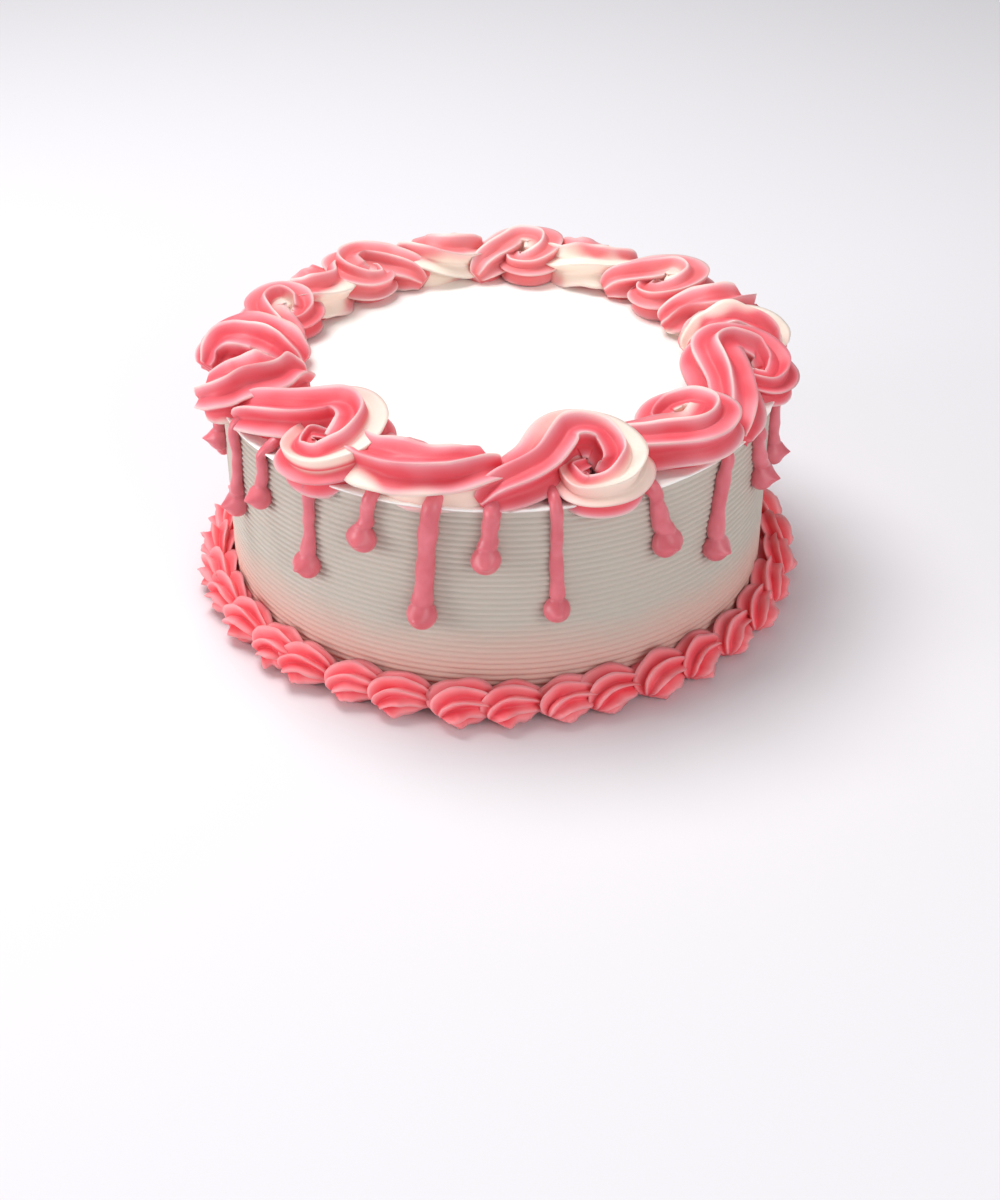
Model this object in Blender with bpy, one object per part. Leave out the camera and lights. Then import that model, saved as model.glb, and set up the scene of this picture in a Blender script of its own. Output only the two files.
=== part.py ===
"""Round birthday cake in buttercream: combed body, piped scroll border, drips and shell border.

Metres, +Z up. The flat underside stands on z = 0, centred on the z axis, and the front is -Y.
Angles round the cake are in degrees from the front, growing towards +X (the right-hand side).
"""
import math

import bmesh
import bpy
from mathutils import Vector

# driving dimensions, metres
CAKE_RADIUS = 0.105
CAKE_HEIGHT = 0.085
LIP_OUT = 0.0012          # the lip left at the top edge by the scraper stands out this far
LIP_HEIGHT = 0.0030
FOOT_CHAMFER = 0.0010
BODY_SIDES = 60
GAP = 0.0003              # clear space left between neighbouring pieces

SCROLL_MIDDLE = 0.0908    # radius of the middle of the scroll border
SCROLL_FORWARD = 0.0030   # how much nearer the rim the border sits at the front
ROPE_RADIUS = 0.0094      # piped rope, centre to crest
ROPE_LIFT = 0.0062        # rope centre above the cake top
ROPE_LOBES = 6
ROPE_VALLEY = 0.70        # flute bottom as a share of the crest radius
ROPE_RINGS = 11

DRIP_WIDTH = 0.0056
DRIP_PROUD = 0.0042       # how far a strand stands out from the cake
BALL_RADIUS = 0.0052
DRIP_TOP = CAKE_HEIGHT - 0.0006

SHELL_COUNT = 36
SHELLS_PER_PIECE = 3
SHELL_REACH = 0.0112      # shell border, from the cake's side outwards at the fattest
SHELL_HEIGHT = 0.0150
SHELL_TAIL = 0.66         # a shell's tail as a share of its head
RINGS_PER_SHELL = 5

# the scrolls round the top edge: start angle, end angle, form, hand
#   crook_out  a hook whose open side faces out over the rim
#   crook_in   a hook whose open side faces the middle of the cake
#   wave       a rope laid along the rim, its middle bowed towards the centre
#   sag        the same rope, its middle bowed outwards
#   cross      a rope laid across the rim, from its outer edge inwards
# hand is +1 where the head lies towards the larger angle, -1 towards the smaller one
SCROLLS = (
    (-1.5, 30.0, "crook_out", 1),
    (30.0, 57.0, "crook_in", 1),
    (57.0, 90.0, "crook_out", 1),
    (90.0, 105.0, "cross", 1),
    (105.0, 120.0, "cross", -1),
    (120.0, 143.0, "crook_in", -1),
    (143.0, 164.5, "wave", -1),
    (164.5, 185.0, "crook_in", -1),
    (185.0, 204.0, "wave", 1),
    (204.0, 226.0, "crook_in", 1),
    (226.0, 244.0, "wave", -1),
    (244.0, 262.0, "crook_in", -1),
    (262.0, 277.0, "cross", -1),
    (277.0, 297.0, "cross", 1),
    (297.0, 330.0, "crook_out", 1),
    (330.0, 358.5, "sag", -1),
)

# the drips: angle, height of the ball's centre, share of the usual width, side of the nub
DRIPS = (
    (-14.0, 0.0415, 1.25, 0),
    (-1.8, 0.0660, 1.10, 0),
    (11.5, 0.0440, 0.85, 0),
    (33.4, 0.0620, 1.15, 0),
    (47.4, 0.0490, 1.05, 1),
    (65.5, 0.0625, 1.10, 1),
    (82.0, 0.0560, 0.95, 0),
    (103.0, 0.0500, 1.00, -1),
    (124.0, 0.0590, 0.95, 0),
    (145.0, 0.0440, 1.10, 1),
    (165.0, 0.0630, 0.90, 0),
    (186.0, 0.0480, 1.05, 0),
    (207.0, 0.0600, 1.10, -1),
    (228.0, 0.0430, 0.95, 0),
    (248.0, 0.0570, 1.05, 0),
    (268.0, 0.0500, 0.90, 1),
    (280.0, 0.0640, 0.80, 0),
    (296.0, 0.0520, 0.85, -1),
    (307.5, 0.0660, 0.80, 0),
    (321.0, 0.0485, 0.90, -1),
    (334.5, 0.0680, 0.95, -1),
)


def clear_scene():
    for item in list(bpy.data.objects):
        bpy.data.objects.remove(item, do_unlink=True)


def make_material(name, color, roughness):
    material = bpy.data.materials.new(name)
    material.use_nodes = True
    shader = material.node_tree.nodes["Principled BSDF"]
    shader.inputs["Base Color"].default_value = (*color, 1.0)
    shader.inputs["Roughness"].default_value = roughness
    return material


def add_object(name, bm, color, roughness=0.55):
    bmesh.ops.remove_doubles(bm, verts=bm.verts, dist=0.00002)
    bmesh.ops.recalc_face_normals(bm, faces=bm.faces)
    mesh = bpy.data.meshes.new(name)
    bm.to_mesh(mesh)
    bm.free()
    mesh.materials.append(make_material(name + "_material", color, roughness))
    piece = bpy.data.objects.new(name, mesh)
    bpy.context.scene.collection.objects.link(piece)
    return piece


def around(angle, radius, height):
    """Point at an angle in degrees from the front, a radius and a height."""
    turn = math.radians(angle)
    return Vector((radius * math.sin(turn), -radius * math.cos(turn), height))


def skin(bm, rings):
    """Join closed rings of points into one tube with flat ends."""
    loops = [[bm.verts.new(point) for point in ring] for ring in rings]
    count = len(loops[0])
    for low, high in zip(loops, loops[1:]):
        for i in range(count):
            j = (i + 1) % count
            bm.faces.new((low[i], low[j], high[j], high[i]))
    bm.faces.new(list(reversed(loops[0])))
    bm.faces.new(loops[-1])


def cut_away(bm, point, normal):
    """Cut the closed body with a plane, drop the side the normal points to and cap the cut."""
    geometry = bm.verts[:] + bm.edges[:] + bm.faces[:]
    bmesh.ops.bisect_plane(bm, geom=geometry, dist=0.000005, plane_co=point,
                           plane_no=normal, clear_outer=True)
    open_edges = [edge for edge in bm.edges if edge.is_boundary]
    if open_edges:
        bmesh.ops.holes_fill(bm, edges=open_edges, sides=0)


def smooth_course(points, count):
    """Catmull-Rom course through a few points, as count evenly stepped points."""
    padded = [points[0] * 2 - points[1]] + points + [points[-1] * 2 - points[-2]]
    course = []
    for step in range(count):
        along = step / (count - 1) * (len(points) - 1)
        i = min(int(along), len(points) - 2)
        t = along - i
        a, b, c, d = padded[i:i + 4]
        course.append(0.5 * (2 * b + (c - a) * t + (2 * a - 5 * b + 4 * c - d) * t * t
                             + (3 * b - a - 3 * c + d) * t ** 3))
    return course


# ---- cake body ----------------------------------------------------------------------------

def build_body():
    """The iced cake: a solid drum with a thin scraper lip standing out at its top edge."""
    r, h = CAKE_RADIUS, CAKE_HEIGHT
    outline = (
        (r - FOOT_CHAMFER, 0.0),
        (r, FOOT_CHAMFER),
        (r, h - LIP_HEIGHT),
        (r + LIP_OUT, h - LIP_HEIGHT * 0.4),
        (r + LIP_OUT * 0.5, h),
    )
    bm = bmesh.new()
    skin(bm, [[around(360.0 * i / BODY_SIDES, radius, height) for i in range(BODY_SIDES)]
              for radius, height in outline])
    return add_object("cake_body", bm, (0.86, 0.82, 0.76))


# ---- piped scrolls ------------------------------------------------------------------------

def crook_points(half, hand, facing):
    """Tail, bend and curled head of a hook: along the rim, outwards, height, thickness."""
    share = min(1.0, half / 0.0235)
    bend = 0.0100 * share
    middle = half - bend - ROPE_RADIUS * 0.72 * share
    outward = 0.0015 * facing
    tail = -half + ROPE_RADIUS * 0.55 * share
    rows = [
        (tail, outward + 0.0075 * facing, 0.0, 0.86),
        ((tail + middle) * 0.5 - bend * 0.50, outward - 0.0010 * facing, 0.0, 1.00),
        (middle - bend * 0.30, outward - bend * 0.90 * facing, 0.0006, 1.00),
        (middle + bend * 0.74, outward - bend * 0.50 * facing, 0.0010, 0.94),
        (middle + bend * 0.86, outward + bend * 0.55 * facing, 0.0008, 0.84),
        (middle + bend * 0.20, outward + bend * 1.20 * facing, 0.0004, 0.66),
        (middle - bend * 0.45, outward + bend * 0.85 * facing, 0.0, 0.40),
    ]
    return [Vector((hand * u, v, w, size * share)) for u, v, w, size in rows]


def wave_points(half, hand, bow):
    """A rope laid along the rim, thick where it starts and drawn out where it ends."""
    end = half - ROPE_RADIUS * 0.20
    sway = min(1.0, (end / 0.0230) ** 2)
    rows = [
        (-end, 0.0050 * sway, 0.0, 0.90),
        (-end * 0.55, -0.0010 * sway, 0.0002, 1.14),
        (0.0, -0.0034 * sway, 0.0004, 1.22),
        (end * 0.55, -0.0010 * sway, 0.0002, 1.16),
        (end, 0.0052 * sway, 0.0, 0.92),
    ]
    return [Vector((hand * u, bow * v, w, size)) for u, v, w, size in rows]


def cross_points(half, hand):
    """A rope laid across the rim, hanging a little over the edge and bowed sideways."""
    bow = max(0.0, half - ROPE_RADIUS) * 0.6
    rows = [
        (-bow * 0.6, 0.0180, -0.0004, 0.66),
        (bow * 0.5, 0.0105, 0.0002, 1.08),
        (bow, 0.0, 0.0006, 1.20),
        (bow * 0.2, -0.0090, 0.0002, 1.06),
        (-bow, -0.0155, 0.0, 0.66),
    ]
    return [Vector((hand * u, v, w, size)) for u, v, w, size in rows]


def star_ring(center, tangent, radius, turn):
    """Section of an open star nozzle, square to the rope."""
    side = tangent.cross(Vector((0, 0, 1))).normalized()
    rise = side.cross(tangent).normalized()
    ring = []
    for i in range(2 * ROPE_LOBES):
        angle = math.pi * i / ROPE_LOBES + turn
        reach = radius if i % 2 == 0 else radius * ROPE_VALLEY
        ring.append(center + side * math.cos(angle) * reach + rise * math.sin(angle) * reach)
    return ring


def build_scroll(name, start, end, form, hand):
    """One piped scroll, kept inside its own slice of the border and flat underneath."""
    middle_angle = (start + end) * 0.5
    rim = SCROLL_MIDDLE + SCROLL_FORWARD * math.cos(math.radians(middle_angle))
    half = math.radians(end - start) * 0.5 * rim
    if form == "crook_out":
        points = crook_points(half, hand, 1)
    elif form == "crook_in":
        points = crook_points(half, hand, -1)
    elif form in ("wave", "sag"):
        points = wave_points(half, hand, 1.0 if form == "wave" else -1.0)
    else:
        points = cross_points(half, hand)
    course = smooth_course(points, ROPE_RINGS)
    centers = []
    for u, v, w, _ in course:
        angle = middle_angle + math.degrees(u / rim)
        centers.append(around(angle, rim + v, CAKE_HEIGHT + ROPE_LIFT + w))
    rings = []
    for i, center in enumerate(centers):
        ahead = centers[min(i + 1, len(centers) - 1)]
        behind = centers[max(i - 1, 0)]
        tangent = (ahead - behind).normalized()
        rings.append(star_ring(center, tangent, ROPE_RADIUS * course[i][3], math.pi / 2))
    bm = bmesh.new()
    skin(bm, rings)
    bmesh.ops.recalc_face_normals(bm, faces=bm.faces)
    cut_away(bm, Vector((0, 0, CAKE_HEIGHT + GAP)), Vector((0, 0, -1)))
    for angle, sense in ((start, -1), (end, 1)):
        plane_normal = around(angle + 90.0, 1.0, 0.0) * sense
        cut_away(bm, plane_normal * (-GAP * 0.5), plane_normal)
    return add_object(name, bm, (0.93, 0.42, 0.46))


# ---- drips --------------------------------------------------------------------------------

def drip_ring(angle, height, half_width, proud, shift=0.0):
    """Level section of a strand: flat at the back, round in front."""
    back = CAKE_RADIUS + LIP_OUT + GAP
    turn = math.radians(angle)
    out = Vector((math.sin(turn), -math.cos(turn), 0.0))
    side = Vector((math.cos(turn), math.sin(turn), 0.0))
    ring = []
    for i in range(6):
        sweep = math.pi * i / 5
        reach = back + proud * math.sin(sweep)
        ring.append(out * reach + side * (half_width * math.cos(sweep) + shift)
                    + Vector((0, 0, height)))
    return ring


def build_drip(name, angle, ball_height, share, nub):
    """A hanging strand that swells into a ball; the nub pulls the ball to one side."""
    half = DRIP_WIDTH * 0.5 * share
    ball = BALL_RADIUS * (0.75 + 0.25 * share)
    proud = DRIP_PROUD * share
    rows = [
        (DRIP_TOP, half * 1.1, proud * 1.05, 0.0),
        ((DRIP_TOP + ball_height) * 0.5, half * 0.95, proud * 0.95, 0.0),
        (ball_height + ball * 1.15, half * 1.05, proud, 0.0),
        (ball_height + ball * 0.55, ball * 0.88, ball * 1.25, 0.10),
        (ball_height, ball, ball * 1.50, 0.16),
        (ball_height - ball * 0.62, ball * 0.80, ball * 1.20, 0.10),
        (ball_height - ball, ball * 0.22, ball * 0.40, 0.0),
    ]
    bm = bmesh.new()
    skin(bm, [drip_ring(angle, height, width, out, ball * pull * nub)
              for height, width, out, pull in rows])
    return add_object(name, bm, (0.80, 0.30, 0.34))


# ---- shell border -------------------------------------------------------------------------

def shell_ring(angle, scale):
    """Section of the shell border: flat at the back and underneath, ribbed outside."""
    inner = CAKE_RADIUS + GAP
    reach = SHELL_REACH * scale
    height = SHELL_HEIGHT * scale
    ring = [around(angle, inner, 0.0), around(angle, inner, height * 0.80)]
    for i in range(5):
        sweep = math.radians(96.0 - 20.0 * i)
        depth = 1.0 if i % 2 == 0 else 0.84
        radius = inner + reach * (0.30 + 0.70 * math.cos(sweep) * depth)
        ring.append(around(angle, radius, height * math.sin(sweep) * depth))
    ring.append(around(angle, inner + reach * 0.92, 0.0))
    return ring


def build_shells(name, first):
    """A run of shells: each rises at once to a fat ribbed head and draws out to a tail."""
    step = 360.0 / SHELL_COUNT
    swell = (SHELL_TAIL, 0.90, 1.0, 0.94, 0.80)
    place = (0.0, 0.10, 0.34, 0.60, 0.82)
    clear = math.degrees(GAP * 0.5 / CAKE_RADIUS)
    rings = []
    for shell in range(SHELLS_PER_PIECE):
        for k in range(RINGS_PER_SHELL):
            angle = (first + shell + place[k]) * step
            if shell == 0 and k == 0:
                angle += clear
            rings.append(shell_ring(angle, swell[k]))
    rings.append(shell_ring((first + SHELLS_PER_PIECE) * step - clear, SHELL_TAIL))
    bm = bmesh.new()
    skin(bm, rings)
    return add_object(name, bm, (0.90, 0.33, 0.37))


def build_all():
    clear_scene()
    build_body()
    for number, (start, end, form, hand) in enumerate(SCROLLS, 1):
        build_scroll("scroll_%02d" % number, start, end, form, hand)
    for number, (angle, ball_height, share, nub) in enumerate(DRIPS, 1):
        build_drip("drip_%02d" % number, angle, ball_height, share, nub)
    for number in range(SHELL_COUNT // SHELLS_PER_PIECE):
        build_shells("shells_%02d" % (number + 1), number * SHELLS_PER_PIECE)


build_all()
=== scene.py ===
"""Buttercream birthday cake: combed side, two-tone piped scrolls, drips and a shell border."""
import math

import bmesh
import bpy
from bpy.props import FloatProperty, FloatVectorProperty, IntProperty, PointerProperty
from mathutils import Matrix, Vector, noise


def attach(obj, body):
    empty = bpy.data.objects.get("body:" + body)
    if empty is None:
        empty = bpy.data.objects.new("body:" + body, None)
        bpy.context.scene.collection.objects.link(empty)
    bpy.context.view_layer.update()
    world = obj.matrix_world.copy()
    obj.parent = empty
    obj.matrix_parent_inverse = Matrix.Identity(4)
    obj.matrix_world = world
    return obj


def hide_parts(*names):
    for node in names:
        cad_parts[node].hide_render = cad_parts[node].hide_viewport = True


bl_info = {
    "name": "Buttercream birthday cake",
    "version": (1, 0, 0),
    "blender": (4, 5, 0),
    "location": "3D View > Sidebar > Cake",
    "description": "Models the iced cake, its piped scrolls, drips and shells, and a plain stage",
    "category": "Object",
}

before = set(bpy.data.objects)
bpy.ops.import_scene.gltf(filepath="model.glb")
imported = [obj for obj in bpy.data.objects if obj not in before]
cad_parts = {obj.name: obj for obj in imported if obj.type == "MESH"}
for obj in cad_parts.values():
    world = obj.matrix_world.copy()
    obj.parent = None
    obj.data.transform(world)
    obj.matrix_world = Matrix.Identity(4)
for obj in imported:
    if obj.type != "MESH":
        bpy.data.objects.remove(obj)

CAKE_RADIUS = 0.105
CAKE_HEIGHT = 0.085
RIM = 0.0908              # radius of the middle of the scroll border
RIM_FORWARD = 0.0030      # how much nearer the edge the border sits at the front
SHELL_PIECES = 12         # pieces that the shell border is split into

# the scrolls: CAD node, start and end angle, form, hand, where the white icing lies in the
# rope (degrees round it, 90 is the top), how much of it is white, twist in turns, thickness,
# and a shift outwards
SCROLLS = (
    ("scroll_01", -3.0, 31.0, "crook_out", 1, 140, 0.30, 0.10, 1.06, -0.0024),
    ("scroll_02", 27.0, 58.0, "crook_in", 1, 150, 0.16, 0.08, 1.08, -0.0008),
    ("scroll_03", 56.0, 92.0, "crook_out", 1, -20, 0.16, 0.12, 1.06, 0.0),
    ("scroll_04", 90.0, 105.0, "cross", 1, 60, 0.20, 0.10, 1.06, 0.0),
    ("scroll_05", 104.0, 121.0, "cross", -1, 230, 0.22, -0.12, 1.06, 0.0),
    ("scroll_06", 118.0, 145.0, "crook_in", -1, 0, 0.40, 0.10, 1.02, 0.0),
    ("scroll_07", 142.0, 166.0, "wave", -1, 20, 0.30, -0.14, 1.00, 0.0),
    ("scroll_08", 163.0, 187.0, "crook_in", -1, 0, 0.30, 0.10, 1.02, 0.0),
    ("scroll_09", 184.0, 206.0, "wave", 1, 185, 0.28, 0.14, 1.02, 0.0),
    ("scroll_10", 203.0, 228.0, "crook_in", 1, 190, 0.24, -0.10, 1.00, 0.0),
    ("scroll_11", 225.0, 246.0, "wave", -1, 10, 0.20, 0.12, 1.04, 0.0),
    ("scroll_12", 243.0, 264.0, "crook_in", -1, 20, 0.22, 0.12, 1.08, 0.0),
    ("scroll_13", 261.0, 279.0, "cross", -1, 250, 0.12, 0.10, 1.10, 0.0),
    ("scroll_14", 276.0, 299.0, "cross", 1, 300, 0.12, -0.12, 1.18, 0.0),
    ("scroll_15", 294.0, 332.0, "crook_out", 1, 130, 0.12, 0.08, 1.16, -0.0034),
    ("scroll_16", 327.0, 361.0, "sag", -1, 200, 0.17, -0.10, 1.08, 0.0006),
)

# the drips: CAD node, angle at the rim and at the ball, height of the ball, thickness, nub
DRIPS = (
    ("drip_01", -12.0, -14.0, 0.0415, 1.25, 0),
    ("drip_02", -0.8, -1.8, 0.0660, 1.10, 0),
    ("drip_03", 10.8, 11.5, 0.0440, 0.85, 0),
    ("drip_04", 30.0, 33.4, 0.0620, 1.15, 1),
    ("drip_05", 49.5, 47.4, 0.0490, 1.05, 1),
    ("drip_06", 62.0, 65.5, 0.0625, 1.10, 1),
    ("drip_07", 80.0, 82.0, 0.0560, 0.95, 0),
    ("drip_08", 104.5, 103.0, 0.0500, 1.00, -1),
    ("drip_09", 123.0, 124.0, 0.0590, 0.95, 0),
    ("drip_10", 146.5, 145.0, 0.0440, 1.10, 1),
    ("drip_11", 164.0, 165.0, 0.0630, 0.90, 0),
    ("drip_12", 187.5, 186.0, 0.0480, 1.05, 0),
    ("drip_13", 206.0, 207.0, 0.0600, 1.10, -1),
    ("drip_14", 229.5, 228.0, 0.0430, 0.95, 0),
    ("drip_15", 247.0, 248.0, 0.0570, 1.05, 0),
    ("drip_16", 269.0, 268.0, 0.0500, 0.90, 1),
    ("drip_17", 278.0, 280.0, 0.0640, 0.80, 0),
    ("drip_18", 297.0, 296.0, 0.0520, 0.85, -1),
    ("drip_19", 309.0, 307.5, 0.0660, 0.80, 0),
    ("drip_20", 322.5, 321.0, 0.0485, 0.90, -1),
    ("drip_21", 336.0, 334.5, 0.0680, 0.95, -1),
)


# ---- small tools --------------------------------------------------------------------------

def linear(code):
    """Linear colour with alpha 1 from an sRGB hex code."""
    out = []
    for i in (1, 3, 5):
        c = int(code[i:i + 2], 16) / 255.0
        out.append(c / 12.92 if c <= 0.04045 else ((c + 0.055) / 1.055) ** 2.4)
    return (*out, 1.0)


def around(angle, radius, height):
    """Point at an angle in degrees from the front, a radius and a height."""
    turn = math.radians(angle)
    return Vector((radius * math.sin(turn), -radius * math.cos(turn), height))


def smooth_step(low, high, value):
    """Rises smoothly from 0 at low to 1 at high."""
    t = min(1.0, max(0.0, (value - low) / (high - low)))
    return t * t * (3.0 - 2.0 * t)


def straight_tube(rings, sides):
    """Closed unit tube along z from 0 to 1, to be bent into shape."""
    bm = bmesh.new()
    bmesh.ops.create_cone(bm, cap_ends=True, segments=sides, radius1=1.0, radius2=1.0,
                          depth=1.0, matrix=Matrix.Translation((0, 0, 0.5)))
    long_edges = [e for e in bm.edges if abs(e.verts[0].co.z - e.verts[1].co.z) > 0.5]
    bmesh.ops.subdivide_edges(bm, edges=long_edges, cuts=rings - 2, use_grid_fill=True)
    return bm


def smooth_course(points, count):
    """Catmull-Rom course through a few points, as count points at even distances."""
    padded = [points[0] * 2 - points[1]] + points + [points[-1] * 2 - points[-2]]
    fine = []
    for step in range(241):
        along = step / 240 * (len(points) - 1)
        i = min(int(along), len(points) - 2)
        t = along - i
        a, b, c, d = padded[i:i + 4]
        fine.append(0.5 * (2 * b + (c - a) * t + (2 * a - 5 * b + 4 * c - d) * t * t
                           + (3 * b - a - 3 * c + d) * t ** 3))
    reach = [0.0]
    for p, q in zip(fine, fine[1:]):
        reach.append(reach[-1] + (q.xyz - p.xyz).length)
    course = []
    j = 0
    for step in range(count):
        goal = reach[-1] * step / (count - 1)
        while j < 239 and reach[j + 1] < goal:
            j += 1
        span = max(reach[j + 1] - reach[j], 1e-9)
        course.append(fine[j].lerp(fine[j + 1], min(1.0, (goal - reach[j]) / span)))
    return course, reach[-1]


def course_frames(centers):
    """Point, side and rise for each step of a course."""
    frames = []
    for i, center in enumerate(centers):
        tangent = centers[min(i + 1, len(centers) - 1)] - centers[max(i - 1, 0)]
        tangent.normalize()
        side = tangent.cross(Vector((0, 0, 1)))
        if side.length < 0.2:
            side = frames[-1][1] if frames else Vector((1, 0, 0))
        side = side.normalized()
        frames.append((center, side, side.cross(tangent).normalized()))
    return frames


def finish_piece(name, bm, material, nodes):
    """Make the mesh an object that rides on the cake and stands for its CAD nodes."""
    bmesh.ops.recalc_face_normals(bm, faces=bm.faces)
    for face in bm.faces:
        face.smooth = True
    mesh = bpy.data.meshes.new(name)
    bm.to_mesh(mesh)
    bm.free()
    mesh.materials.append(material)
    piece = bpy.data.objects.new(name, mesh)
    bpy.context.scene.collection.objects.link(piece)
    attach(piece, "root")
    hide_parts(*nodes)
    return piece


def ring_of(vert, rings):
    """Number of the ring that a vertex of a straight tube belongs to."""
    return min(rings - 1, max(0, int(round(vert.co.z * (rings - 1)))))


# ---- materials ----------------------------------------------------------------------------

def add_node(tree, kind, values=None, links=None, **settings):
    """Add a node with its settings, socket values and incoming links."""
    node = tree.nodes.new(kind)
    for key, value in settings.items():
        setattr(node, key, value)
    for key, value in (values or {}).items():
        node.inputs[key].default_value = value
    for key, source in (links or {}).items():
        tree.links.new(source, node.inputs[key])
    return node


def start_material(name, rough, scatter, scatter_depth):
    """Principled material with the faint inner glow of butter fat."""
    old = bpy.data.materials.get(name)
    if old:
        return old, None, None
    material = bpy.data.materials.new(name)
    material.use_nodes = True
    tree = material.node_tree
    shader = tree.nodes["Principled BSDF"]
    shader.inputs["Roughness"].default_value = rough
    shader.inputs["IOR"].default_value = 1.46
    shader.inputs["Subsurface Weight"].default_value = scatter
    shader.inputs["Subsurface Scale"].default_value = scatter_depth
    shader.inputs["Subsurface Radius"].default_value = (1.0, 0.45, 0.35)
    return material, tree, shader


def add_bump(tree, shader, scale, height, strength):
    """Fine grain of sugar and small air bubbles in the icing."""
    place = add_node(tree, "ShaderNodeTexCoord")
    grain = add_node(tree, "ShaderNodeTexNoise", {"Scale": scale, "Detail": 3.0},
                     {"Vector": place.outputs["Object"]})
    bump = add_node(tree, "ShaderNodeBump", {"Strength": strength, "Distance": height},
                    {"Height": grain.outputs["Fac"]})
    tree.links.new(bump.outputs["Normal"], shader.inputs["Normal"])
    return place


def piped_buttercream(looks):
    """Two-tone buttercream: deep pink in the flutes as painted shade, pale pink crests as painted
    highlight, bands of cream white.
    """
    material, tree, shader = start_material("Piped two-tone buttercream", 0.50, 0.18, 0.004)
    if tree is None:
        return material
    add_bump(tree, shader, 900.0, 0.00025, 0.25)
    crest = add_node(tree, "ShaderNodeAttribute", attribute_name="crest")
    white = add_node(tree, "ShaderNodeAttribute", attribute_name="white")
    # painted shade and highlight: deep pink in the flutes, pale pink on the crests
    ramp = add_node(tree, "ShaderNodeValToRGB", links={"Fac": crest.outputs["Fac"]})
    stops = ramp.color_ramp.elements
    stops[0].position = 0.0
    stops[0].color = (*looks.flute_shade_pink, 1.0)
    stops[1].position = 1.0
    stops[1].color = (*looks.crest_highlight_pink, 1.0)
    middle = stops.new(0.38)
    middle.color = (*looks.rope_pink, 1.0)
    # the white attribute mixes in cream white: the real white bands of the icing, plus painted
    # highlight on the crests and painted back light on the back scrolls
    mix = add_node(tree, "ShaderNodeMix", {"B": (*looks.cream_white, 1.0)},
                   {"Factor": white.outputs["Fac"], "A": ramp.outputs["Color"]},
                   data_type="RGBA")
    tree.links.new(mix.outputs["Result"], shader.inputs["Base Color"])
    return material


# ---- sizes and colours --------------------------------------------------------------------

class CakeSizes(bpy.types.PropertyGroup):
    """Sizes of the iced cake and its piping."""
    comb_pitch: FloatProperty(
        name="Comb pitch", description="Height of one ridge of the combed side",
        default=0.00235, min=0.001, max=0.006, subtype="DISTANCE", unit="LENGTH")
    comb_depth: FloatProperty(
        name="Comb depth", description="Depth of the combed grooves",
        default=0.00095, min=0.0, max=0.002, subtype="DISTANCE", unit="LENGTH")
    rope_radius: FloatProperty(
        name="Rope radius", description="Piped scroll rope, centre to crest",
        default=0.0108, min=0.004, max=0.02, subtype="DISTANCE", unit="LENGTH")
    rope_lobes: IntProperty(
        name="Rope lobes", description="Points of the star nozzle used for the scrolls",
        default=7, min=5, max=12)
    flute_depth: FloatProperty(
        name="Flute depth", description="Depth of the flutes as a share of the rope radius",
        default=0.36, min=0.0, max=0.6, subtype="FACTOR")
    drip_radius: FloatProperty(
        name="Drip radius", description="Half the width of a hanging strand",
        default=0.0027, min=0.001, max=0.006, subtype="DISTANCE", unit="LENGTH")
    ball_radius: FloatProperty(
        name="Ball radius", description="Radius of the ball that ends a drip",
        default=0.0050, min=0.002, max=0.01, subtype="DISTANCE", unit="LENGTH")
    shell_count: IntProperty(
        name="Shells", description="Shells in the border at the foot", default=36, min=12, max=72)
    shell_radius: FloatProperty(
        name="Shell radius", description="Fattest part of a shell, centre to crest",
        default=0.0088, min=0.004, max=0.015, subtype="DISTANCE", unit="LENGTH")


def color_property(name, description, code):
    return FloatVectorProperty(name=name, description=description, subtype="COLOR", size=3,
                               min=0.0, max=1.0, default=linear(code)[:3])


class CakeColors(bpy.types.PropertyGroup):
    """Colours of the icing."""
    # flute pink is painted shade and crest pink painted highlight; rope pink is the icing's own
    # pink
    flute_shade_pink: color_property("Flute pink", "Piping, bottom of the flutes", "#E4525E")
    rope_pink: color_property("Rope pink", "Piping, between flute and crest", "#E8838E")
    crest_highlight_pink: color_property("Crest pink", "Piping, crests", "#F5B9BF")
    # cream white also serves for the painted highlights along the crests and the painted back
    # light on the back scrolls
    cream_white: color_property("Cream white", "White bands in the piping", "#F8EBDC")
    drip_pink: color_property("Drip pink", "Hanging strands", "#C9515D")
    # the shell deep and pale pinks are painted shade in the grooves and painted highlight on the
    # ridges
    shell_groove_shade: color_property("Shell deep pink", "Shell border, grooves", "#F04D5A")
    shell_ridge_highlight: color_property("Shell pale pink", "Shell border, ridges", "#FFA2A7")
    # painted shade: the side white is set darker than the top white to stand in for shade on the
    # side
    side_shade_white: color_property("Side white", "Combed side of the cake", "#C6BDB2")
    top_white: color_property("Top white", "Smooth top of the cake", "#FCFAF6")
    # pink mixed into the lowest band of the side, just above the shells
    foot_pink: color_property("Foot tint", "Pink towards the foot of the side", "#DFB2A6")


# ---- iced cake ----------------------------------------------------------------------------

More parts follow.
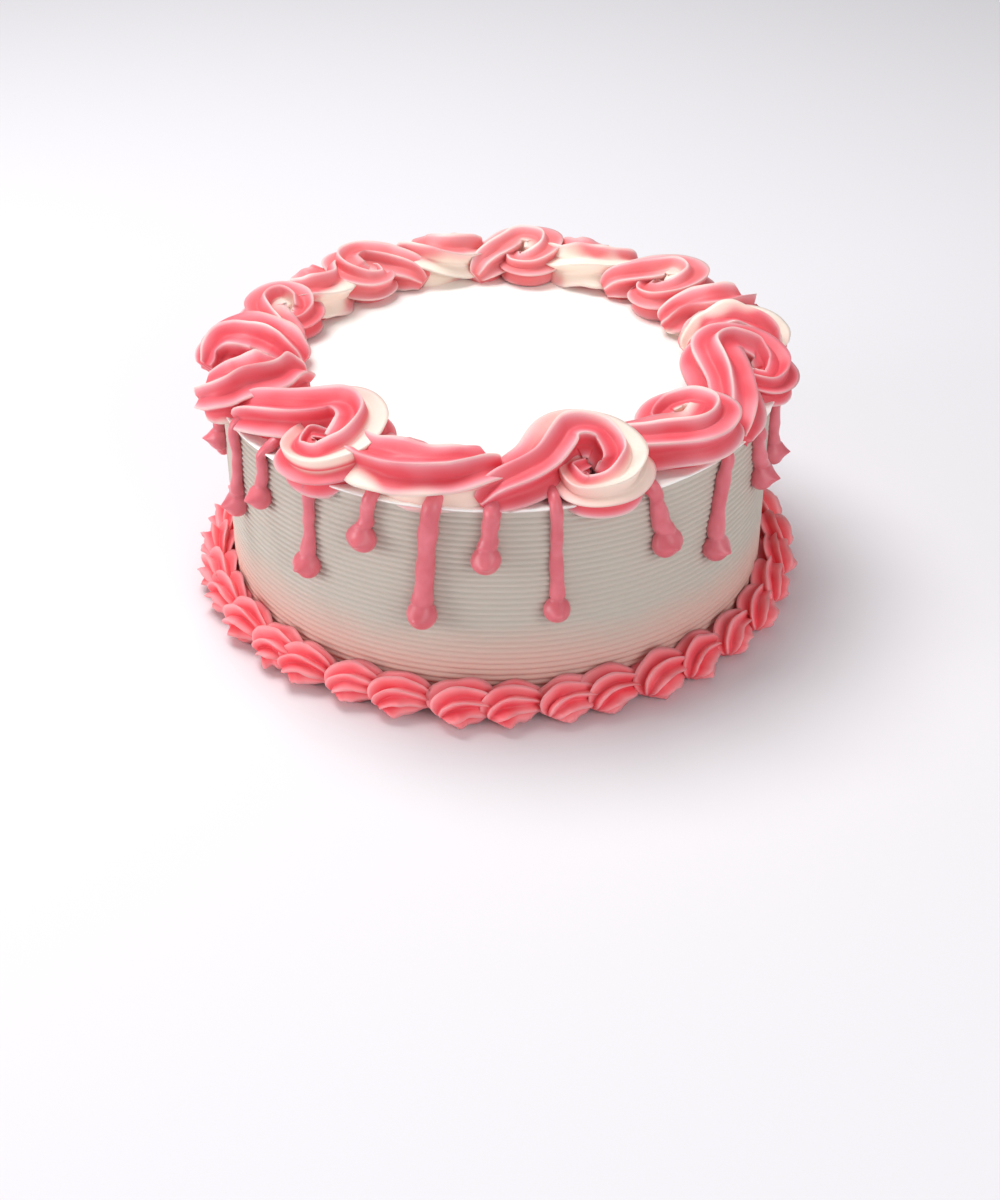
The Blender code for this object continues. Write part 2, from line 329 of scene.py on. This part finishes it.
class CAKE_OT_body(bpy.types.Operator):
    """Iced cake with a combed side, an uneven scraper lip and a smooth top"""
    bl_idname = "cake.body"
    bl_label = "Iced cake"

    def outline(self, sizes):
        """Radius, height and lip share of each ring, from the underside to the top."""
        rings = [(0.001, 0.0, 0.0), (0.05, 0.0, 0.0), (CAKE_RADIUS - 0.001, 0.0, 0.0)]
        steps = 6
        count = int((CAKE_HEIGHT - 0.0026) / sizes.comb_pitch)
        for k in range(count * steps):
            height = 0.0008 + k / steps * sizes.comb_pitch
            wave = (k % steps) / steps
            groove = (1.0 - abs(math.sin(math.pi * wave))) ** 1.6
            rings.append((CAKE_RADIUS - sizes.comb_depth * groove, height, 0.0))
        rings += [
            (CAKE_RADIUS + 0.0001, CAKE_HEIGHT - 0.0018, 0.4),
            (CAKE_RADIUS + 0.0010, CAKE_HEIGHT - 0.0011, 1.0),
            (CAKE_RADIUS + 0.0016, CAKE_HEIGHT - 0.0005, 1.6),
            (CAKE_RADIUS + 0.0015, CAKE_HEIGHT - 0.0001, 1.6),
            (CAKE_RADIUS + 0.0006, CAKE_HEIGHT + 0.0001, 1.0),
            (CAKE_RADIUS - 0.0012, CAKE_HEIGHT + 0.0001, 0.5),
            (CAKE_RADIUS - 0.0030, CAKE_HEIGHT, 0.2),
            (0.090, CAKE_HEIGHT, 0.0),
            (0.070, CAKE_HEIGHT, 0.0),
            (0.035, CAKE_HEIGHT, 0.0),
            (0.001, CAKE_HEIGHT, 0.0),
        ]
        return rings

    def material(self, colors):
        """Smoothed buttercream, satin, pinker towards the foot above the shells, with painted
        shade on the side, which is set darker than the top.
        """
        material, tree, shader = start_material("Scraped white buttercream", 0.55, 0.12, 0.003)
        if tree is None:
            return material
        place = add_bump(tree, shader, 500.0, 0.0002, 0.20)
        parts = add_node(tree, "ShaderNodeSeparateXYZ", links={"Vector": place.outputs["Object"]})
        drift = add_node(tree, "ShaderNodeTexNoise", {"Scale": 35.0, "Detail": 2.0},
                         {"Vector": place.outputs["Object"]})
        lowered = add_node(tree, "ShaderNodeMath", {1: 0.012},
                           {0: drift.outputs["Fac"]}, operation="MULTIPLY")
        height = add_node(tree, "ShaderNodeMath", None,
                          {0: parts.outputs["Z"], 1: lowered.outputs["Value"]},
                          operation="SUBTRACT")
        # pinker towards the foot, from about 13 to 31 mm up, with a noisy edge
        foot = add_node(tree, "ShaderNodeMapRange",
                        {"From Min": 0.013, "From Max": 0.031, "To Min": 0.85, "To Max": 0.0},
                        {"Value": height.outputs["Value"]})
        top = add_node(tree, "ShaderNodeMapRange",
                       {"From Min": CAKE_HEIGHT - 0.0014, "From Max": CAKE_HEIGHT - 0.0002},
                       {"Value": parts.outputs["Z"]})
        # painted shade: the darker side white gives way to the lighter top white at the top edge
        upper = add_node(tree, "ShaderNodeMix", {"A": (*colors.side_shade_white, 1.0),
                                                 "B": (*colors.top_white, 1.0)},
                         {"Factor": top.outputs["Result"]}, data_type="RGBA")
        tinted = add_node(tree, "ShaderNodeMix", {"B": (*colors.foot_pink, 1.0)},
                          {"Factor": foot.outputs["Result"], "A": upper.outputs["Result"]},
                          data_type="RGBA")
        tree.links.new(tinted.outputs["Result"], shader.inputs["Base Color"])
        return material

    def execute(self, context):
        sizes = context.scene.cake_sizes
        rings = self.outline(sizes)
        bm = straight_tube(len(rings), 288)
        for vert in bm.verts:
            radius, height, lip = rings[ring_of(vert, len(rings))]
            turn = math.atan2(vert.co.x, -vert.co.y)
            out = Vector((math.sin(turn), -math.cos(turn), 0.0))
            if radius > 0.09:
                sway = noise.noise(out * 3.0 + Vector((0, 0, height * 12.0)))
                radius += 0.0003 * sway
                if 0.0008 < height < CAKE_HEIGHT - 0.002:
                    height += 0.0002 * noise.noise(out * 2.0 + Vector((7, 0, height * 60)))
                    ridge = noise.noise(out * 30.0 + Vector((0, 3, height * 300)))
                    radius += 0.00012 * ridge
                chip = noise.noise(out * 16.0 + Vector((4, 1, 0)))
                fine = noise.noise(out * 60.0)
                radius += lip * (0.0006 * chip + 0.0004 * fine)
                height += lip * (0.0009 * chip + 0.0005 * fine + 0.0002)
            vert.co = out * radius + Vector((0, 0, max(0.0, height)))
        finish_piece("iced_cake", bm, self.material(context.scene.cake_colors),
                     ["cake_body"])
        return {"FINISHED"}


# ---- piped scrolls ------------------------------------------------------------------------

class CAKE_OT_scrolls(bpy.types.Operator):
    """Scrolls piped round the top edge with a large open star nozzle"""
    bl_idname = "cake.scrolls"
    bl_label = "Piped scrolls"

    LIFT = 0.0058             # height of the middle of a rope above the top of the cake
    FULL_HALF = 0.0235        # half length at which a hook has its full size
    BEND_OUT = 0.0122         # radius of a hook that hangs over the rim
    BEND_IN = 0.0108          # radius of a hook that lies towards the middle
    LEAN_OUT = 0.34           # slope of a hook that hangs over the rim
    LEAN_IN = 0.12            # slope of a hook that lies towards the middle

    def rows(self, form, half, hand):
        """Along the rim, outwards, height and thickness of a scroll's course."""
        share = min(1.0, half / self.FULL_HALF)
        end = half - 0.002
        if form in ("wave", "sag"):
            bow = 1.0 if form == "wave" else -1.0
            rows = [
                (-end, 0.0050, -0.0010, 0.50),
                (-end * 0.86, 0.0020, 0.0, 0.98),
                (-end * 0.50, -0.0016, 0.0004, 1.16),
                (0.0, -0.0034, 0.0008, 1.20),
                (end * 0.52, -0.0012, 0.0004, 1.14),
                (end * 0.88, 0.0040, -0.0002, 0.96),
                (end, 0.0074, -0.0018, 0.55),
            ]
            return [Vector((hand * u, bow * v, w, size)) for u, v, w, size in rows]
        if form == "cross":
            rows = [
                (-0.0030, 0.0190, -0.0050, 0.50),
                (0.0000, 0.0160, -0.0022, 0.88),
                (0.0026, 0.0100, 0.0004, 1.10),
                (0.0034, 0.0, 0.0014, 1.18),
                (0.0008, -0.0080, 0.0004, 1.06),
                (-0.0026, -0.0140, -0.0014, 0.80),
                (-0.0044, -0.0166, -0.0034, 0.42),
            ]
            return [Vector((hand * u, v, w, size)) for u, v, w, size in rows]
        bend = (self.BEND_OUT if form == "crook_out" else self.BEND_IN) * share
        middle = half - bend - 0.0072 * share
        facing = 1 if form == "crook_out" else -1
        rows = [
            (-half, 0.0110, -0.0022, 0.48),
            (-half * 0.80, 0.0072, -0.0004, 0.90),
            ((middle - half) * 0.45, -0.0010, 0.0004, 1.05),
            (middle - bend * 0.30, -bend * 0.88, 0.0016, 1.06),
            (middle + bend * 0.74, -bend * 0.60, 0.0026, 1.02),
            (middle + bend * 1.04, bend * 0.34, 0.0024, 0.96),
            (middle + bend * 0.50, bend * 1.02, 0.0012, 0.84),
            (middle - bend * 0.36, bend * 0.92, 0.0004, 0.70),
            (middle - bend * 0.56, bend * 0.20, 0.0008, 0.56),
            (middle - bend * 0.02, -bend * 0.06, 0.0010, 0.38),
        ]
        thick = 0.55 + 0.45 * share
        lean = self.LEAN_OUT if facing > 0 else self.LEAN_IN
        return [Vector((hand * u, facing * v + 0.0012 * facing, w - lean * v, size * thick))
                for u, v, w, size in rows]

    def build(self, sizes, material, spec, number):
        node, start, end, form, hand, white_at, white_share, twist, thick, shift = spec
        middle = (start + end) * 0.5
        rim = RIM + RIM_FORWARD * math.cos(math.radians(middle))
        half = math.radians(end - start) * 0.5 * rim
        rings, sides = 132, sizes.rope_lobes * 12
        course, length = smooth_course(self.rows(form, half, hand), rings)
        centers = [around(middle + math.degrees(u / rim), rim + shift + v,
                          CAKE_HEIGHT + self.LIFT + w) for u, v, w, _ in course]
        frames = course_frames(centers)
        bm = straight_tube(rings, sides)
        crest_layer = bm.verts.layers.float.new("crest")
        white_layer = bm.verts.layers.float.new("white")
        seed = number * 7.31
        # painted back light: scrolls towards the back are whitened a little, standing in for light
        # from behind
        pale = 0.14 * max(0.0, -math.cos(math.radians(middle)))
        lobes = sizes.rope_lobes
        for vert in bm.verts:
            i = ring_of(vert, rings)
            t = i / (rings - 1)
            angle = math.atan2(vert.co.y, vert.co.x)
            center, side, rise = frames[i]
            lobe = round(angle * lobes / (2 * math.pi)) % lobes
            flute = abs(math.sin(angle * lobes * 0.5))
            wander = 0.05 * noise.noise(Vector((t * 3.0, seed, 0.0)))
            turned = angle - 2 * math.pi * (twist * t + wander)
            depth = sizes.flute_depth * (1.0 + 0.40 * noise.noise(
                Vector((lobe * 3.7, t * 4.0, seed))))
            ruffle = noise.noise(Vector((t * 6.0, lobe * 1.7, seed + 5.0)))
            reach = 1.0 - depth * flute ** 0.9 + 0.11 * ruffle * (1.0 - flute)
            size = sizes.rope_radius * course[i].w * thick
            size *= 1.0 + 0.05 * noise.noise(Vector((t * 5.0, seed, 9.0)))
            place = (center + side * math.cos(turned) * reach * size
                     + rise * math.sin(turned) * reach * size * 0.88)
            out = math.hypot(place.x, place.y)
            floor = CAKE_HEIGHT - 0.0004
            if out > CAKE_RADIUS - 0.002:
                floor -= 0.008 * smooth_step(CAKE_RADIUS - 0.002, CAKE_RADIUS + 0.006, out)
            if place.z < floor:
                place.z = floor + (place.z - floor) * 0.02
            vert.co = place
            patch = noise.noise(Vector((t * 3.5, lobe * 4.1, seed + 2.0)))
            # painted highlight on the crests and painted shade in the flutes, in random patches
            vert[crest_layer] = min(1.0, max(0.0, (1.0 - flute) ** 2.2 * (0.86 + 0.9 * patch)
                                             + 0.24 * noise.noise(place * 90.0)))
            away = (math.degrees(turned) - white_at + 180.0) % 360.0 - 180.0
            edge = 180.0 * white_share + 16.0 * noise.noise(Vector((t * 6.0, lobe, seed)))
            band = 1.0 - smooth_step(edge * 0.55, edge * 1.15 + 1.0, abs(away))
            if form.startswith("crook"):
                band *= smooth_step(0.18, 0.55, t)
                band *= 1.0 - 0.6 * smooth_step(0.76, 0.92, t)
            # painted highlight: cream white laid along the crest lines in patches
            crest_highlight_white = smooth_step(0.86, 1.0, 1.0 - flute) * (0.28 + 0.6 * patch)
            vert[white_layer] = min(1.0, max(band * 0.84, crest_highlight_white, 0.0) + pale)
        finish_piece("piped_" + node, bm, material, [node])

    def execute(self, context):
        scene = context.scene
        material = piped_buttercream(scene.cake_colors)
        for number, spec in enumerate(SCROLLS):
            self.build(scene.cake_sizes, material, spec, number)
        return {"FINISHED"}


# ---- drips --------------------------------------------------------------------------------

class CAKE_OT_drips(bpy.types.Operator):
    """Strands of thin pink buttercream that hang over the edge and end in balls"""
    bl_idname = "cake.drips"
    bl_label = "Drips"

    def material(self, colors):
        """Soft pink buttercream, a little wetter than the rest, so it has a low sheen."""
        material, tree, shader = start_material("Soft pink buttercream", 0.32, 0.20, 0.004)
        if tree is None:
            return material
        place = add_bump(tree, shader, 600.0, 0.0002, 0.15)
        drift = add_node(tree, "ShaderNodeTexNoise", {"Scale": 140.0, "Detail": 2.0},
                         {"Vector": place.outputs["Object"]})
        mix = add_node(tree, "ShaderNodeMix",
                       {"A": (*colors.drip_pink, 1.0), "B": (*colors.rope_pink, 1.0)},
                       {"Factor": drift.outputs["Fac"]}, data_type="RGBA")
        tree.links.new(mix.outputs["Result"], shader.inputs["Base Color"])
        return material

    def build(self, sizes, material, spec, number):
        node, top_angle, ball_angle, ball_height, thick, nub = spec
        strand = sizes.drip_radius * thick
        ball = sizes.ball_radius * (0.75 + 0.25 * thick)
        face = CAKE_RADIUS + strand * 0.55
        span = CAKE_HEIGHT - ball_height
        swing = ball_angle - top_angle
        points = [
            (top_angle - swing * 0.6, CAKE_RADIUS - 0.0130, CAKE_HEIGHT + 0.0036),
            (top_angle - swing * 0.4, CAKE_RADIUS - 0.0040, CAKE_HEIGHT + 0.0036),
            (top_angle, face + 0.0006, CAKE_HEIGHT - 0.0004),
            (top_angle + swing * 0.35, face, CAKE_HEIGHT - span * 0.25),
            (top_angle + swing * 0.70, face, CAKE_HEIGHT - span * 0.60),
            (ball_angle, face + 0.0006, ball_height + ball * 0.8),
            (ball_angle, face + ball * 0.30, ball_height - ball),
        ]
        rings, sides = 72, 28
        course, length = smooth_course([around(*p).to_4d() for p in points], rings)
        centers = [Vector(p[:3]) for p in course]
        bm = straight_tube(rings, sides)
        seed = number * 3.17
        turn = math.radians(ball_angle)
        out = Vector((math.sin(turn), -math.cos(turn), 0.0))
        across = Vector((math.cos(turn), math.sin(turn), 0.0))
        for vert in bm.verts:
            i = ring_of(vert, rings)
            left = length * (1.0 - i / (rings - 1))
            angle = math.atan2(vert.co.y, vert.co.x)
            tangent = centers[min(i + 1, rings - 1)] - centers[max(i - 1, 0)]
            tangent.normalize()
            front = across.cross(tangent).normalized()
            inside = max(0.0, ball * ball - (left - ball) ** 2) if left < 2 * ball else 0.0
            neck = strand * (1.0 + 0.24 * noise.noise(Vector((i * 0.12, seed, 0))))
            neck *= smooth_step(-0.2, 1.0, left / (0.9 * ball))
            size = (neck ** 4 + math.sqrt(inside) ** 4) ** 0.25
            if 2 * ball <= left < 3.4 * ball:
                size *= 1.0 + 0.22 * (1.0 - smooth_step(2 * ball, 3.4 * ball, left))
            place = (centers[i] + across * math.cos(angle) * size
                     + front * math.sin(angle) * size * 0.92)
            bump = noise.noise(place * 170.0 + Vector((seed, 0, 0)))
            place += out * 0.0007 * bump + across * 0.0005 * noise.noise(
                Vector((seed, i * 0.07, 2.0)))
            peak = max(0.0, 1.0 - abs(left - ball) / (0.6 * ball))
            place += out * 0.0024 * peak ** 2 * max(0.0, -math.sin(angle)) ** 8
            pull = math.cos(angle) * nub
            if nub and left < 2 * ball and pull > 0.3:
                place += across * nub * ball * 0.42 * (pull - 0.3) ** 1.5
            vert.co = place
        finish_piece("strand_" + node, bm, material, [node])

    def execute(self, context):
        scene = context.scene
        material = self.material(scene.cake_colors)
        for number, spec in enumerate(DRIPS):
            self.build(scene.cake_sizes, material, spec, number)
        return {"FINISHED"}


# ---- shell border -------------------------------------------------------------------------

class CAKE_OT_shells(bpy.types.Operator):
    """Shells piped round the foot with a smaller star nozzle, each over the last one's tail"""
    bl_idname = "cake.shells"
    bl_label = "Shell border"

    def material(self, colors):
        """Pink buttercream from a star nozzle: darker in the grooves as painted shade, pale on the
        ridges as painted highlight.
        """
        material, tree, shader = start_material("Piped pink buttercream", 0.48, 0.18, 0.003)
        if tree is None:
            return material
        add_bump(tree, shader, 900.0, 0.0002, 0.25)
        crest = add_node(tree, "ShaderNodeAttribute", attribute_name="crest")
        mix = add_node(tree, "ShaderNodeMix",
                       {"A": (*colors.shell_groove_shade, 1.0), "B": (*colors.shell_ridge_highlight, 1.0)},
                       {"Factor": crest.outputs["Fac"]}, data_type="RGBA")
        tree.links.new(mix.outputs["Result"], shader.inputs["Base Color"])
        return material

    def add_shell(self, bm, sizes, number):
        """One shell: ridges fan out from the tail, curl over the head and end on the base."""
        step = 360.0 / sizes.shell_count
        start = (number + 0.28 + 0.26 * noise.noise(Vector((number * 1.3, 2, 0)))) * step
        middle = CAKE_RADIUS + 0.0052
        grow = 1.0 + 0.22 * noise.noise(Vector((number * 2.1, 0, 4)))
        lean = 0.0010 * noise.noise(Vector((number * 1.9, 8, 0)))
        rows = [
            (0.0150, 0.0006, 0.0046, 0.16),
            (0.0104, -0.0004, 0.0066, 0.48),
            (0.0056, -0.0002, 0.0078, 0.80),
            (0.0008, 0.0002, 0.0076, 1.02),
            (-0.0032, 0.0014, 0.0066, 1.12),
            (-0.0060, 0.0028, 0.0050, 1.06),
            (-0.0074, 0.0038, 0.0036, 0.78),
            (-0.0078, 0.0042, 0.0030, 0.36),
        ]
        rings, lobes = 48, 9
        sides = lobes * 8
        course, length = smooth_course([Vector(row) for row in rows], rings)
        centers = [around(start + math.degrees(u / middle), middle + v + lean, w)
                   for u, v, w, _ in course]
        frames = course_frames(centers)
        shell = straight_tube(rings, sides)
        layer = shell.verts.layers.float.new("crest")
        seed = number * 5.77
        roll = 0.55 * noise.noise(Vector((seed, 3, 3)))
        for vert in shell.verts:
            i = ring_of(vert, rings)
            t = i / (rings - 1)
            angle = math.atan2(vert.co.y, vert.co.x)
            center, side, rise = frames[i]
            lobe = round(angle * lobes / (2 * math.pi)) % lobes
            flute = abs(math.sin(angle * lobes * 0.5))
            turned = angle - 2 * math.pi * (0.12 * t + roll)
            head = smooth_step(0.45, 0.90, t)
            depth = 0.42 + 0.10 * head
            depth *= 1.0 + 0.5 * noise.noise(Vector((lobe * 2.9, t * 3.0, seed)))
            reach = 1.0 - depth * max(flute, 0.16 * head) ** 0.8
            ragged = noise.noise(Vector((t * 4.0, lobe * 2.3, seed)))
            reach += (0.20 * ragged + 0.02 * head) * (1.0 - flute)
            size = sizes.shell_radius * course[i].w * grow
            place = (center + side * math.cos(turned) * reach * size
                     + rise * math.sin(turned) * reach * size)
            if place.z < 0.0:
                place = center.lerp(place, center.z / (center.z - place.z))
            foot = 0.84 + 0.16 * smooth_step(0.0, 0.0035, place.z)
            place.x = center.x + (place.x - center.x) * foot
            place.y = center.y + (place.y - center.y) * foot
            vert.co = place
            # painted shade and highlight: ridges set pale, grooves deep, with random variation
            vert[layer] = min(1.0, max(0.0, (1.0 - flute) ** 1.1 + 0.3 * noise.noise(place * 120)))
        mesh = bpy.data.meshes.new("shell_part")
        shell.to_mesh(mesh)
        shell.free()
        bm.from_mesh(mesh)
        bpy.data.meshes.remove(mesh)

    def execute(self, context):
        scene = context.scene
        material = self.material(scene.cake_colors)
        per_piece = scene.cake_sizes.shell_count // SHELL_PIECES
        for part in range(SHELL_PIECES):
            bm = bmesh.new()
            for k in range(per_piece):
                self.add_shell(bm, scene.cake_sizes, part * per_piece + k)
            node = "shells_%02d" % (part + 1)
            finish_piece("border_" + node, bm, material, [node])
        return {"FINISHED"}


# ---- stage --------------------------------------------------------------------------------

class CAKE_OT_stage(bpy.types.Operator):
    """Plain pale floor, soft studio light and the camera"""
    bl_idname = "cake.stage"
    bl_label = "Stage"

    def add_light(self, name, place, target, size, power):
        lamp = bpy.data.lights.new(name, "AREA")
        lamp.shape = "DISK"
        lamp.size = size
        lamp.energy = power
        light = bpy.data.objects.new(name, lamp)
        light.location = place
        light.rotation_euler = (Vector(target) - Vector(place)).to_track_quat("-Z", "Y").to_euler()
        bpy.context.scene.collection.objects.link(light)

    def add_floor(self):
        bm = bmesh.new()
        bmesh.ops.create_grid(bm, x_segments=1, y_segments=1, size=4.0,
                              matrix=Matrix.Translation((0, 0, -0.0002)))
        mesh = bpy.data.meshes.new("floor")
        bm.to_mesh(mesh)
        bm.free()
        material = bpy.data.materials.new("Pale painted board")
        material.use_nodes = True
        shader = material.node_tree.nodes["Principled BSDF"]
        shader.inputs["Base Color"].default_value = linear("#E4E2E6")
        shader.inputs["Roughness"].default_value = 0.9
        mesh.materials.append(material)
        floor = bpy.data.objects.new("floor", mesh)
        bpy.context.scene.collection.objects.link(floor)

    def add_camera(self, context):
        """Looks down a little over 30 degrees at the cake, set a little above its middle."""
        pitch = math.radians(34.1)
        distance = 7.57 * CAKE_RADIUS
        aim = Vector((0.0, 0.0, -0.22 * CAKE_RADIUS))
        camera = bpy.data.objects.new("camera", bpy.data.cameras.new("camera"))
        camera.location = aim + Vector((0, -math.cos(pitch), math.sin(pitch))) * distance
        camera.rotation_euler = (math.radians(90.0) - pitch, 0.0, 0.0)
        camera.data.sensor_fit = "VERTICAL"
        camera.data.sensor_height = 24.0
        camera.data.lens = 38.38
        camera.data.shift_x = 0.0028
        context.scene.collection.objects.link(camera)
        context.scene.camera = camera

    def execute(self, context):
        self.add_floor()
        self.add_light("key", (-0.35, 0.25, 1.15), (0, 0, 0.05), 0.8, 12.8)
        self.add_light("fill", (0.75, -1.05, 0.6), (0, 0, 0.05), 1.0, 6.4)
        self.add_light("side", (-1.15, -0.4, 0.28), (0, 0, 0.05), 0.7, 6.6)
        world = bpy.data.worlds.new("soft room")
        world.use_nodes = True
        sky = world.node_tree.nodes["Background"]
        sky.inputs["Color"].default_value = (1.0, 1.0, 1.0, 1.0)
        sky.inputs["Strength"].default_value = 0.36
        context.scene.world = world
        context.scene.view_settings.view_transform = "Standard"
        self.add_camera(context)
        return {"FINISHED"}


class CAKE_PT_panel(bpy.types.Panel):
    """Lists the pieces of the cake"""
    bl_idname = "CAKE_PT_panel"
    bl_label = "Birthday cake"
    bl_space_type = "VIEW_3D"
    bl_region_type = "UI"
    bl_category = "Cake"

    def draw(self, context):
        for kind in OPERATORS:
            self.layout.operator(kind.bl_idname)
        for group in (context.scene.cake_sizes, context.scene.cake_colors):
            for name in group.__annotations__:
                self.layout.prop(group, name)


OPERATORS = (CAKE_OT_body, CAKE_OT_scrolls, CAKE_OT_drips, CAKE_OT_shells, CAKE_OT_stage)
CLASSES = (CakeSizes, CakeColors, *OPERATORS, CAKE_PT_panel)


def register():
    for kind in CLASSES:
        bpy.utils.register_class(kind)
    bpy.types.Scene.cake_sizes = PointerProperty(type=CakeSizes)
    bpy.types.Scene.cake_colors = PointerProperty(type=CakeColors)


def unregister():
    del bpy.types.Scene.cake_colors
    del bpy.types.Scene.cake_sizes
    for kind in reversed(CLASSES):
        bpy.utils.unregister_class(kind)


def main():
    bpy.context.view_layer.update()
    register()
    bpy.ops.cake.body()
    bpy.ops.cake.scrolls()
    bpy.ops.cake.drips()
    bpy.ops.cake.shells()
    bpy.ops.cake.stage()


if __name__ == "__main__":
    main()
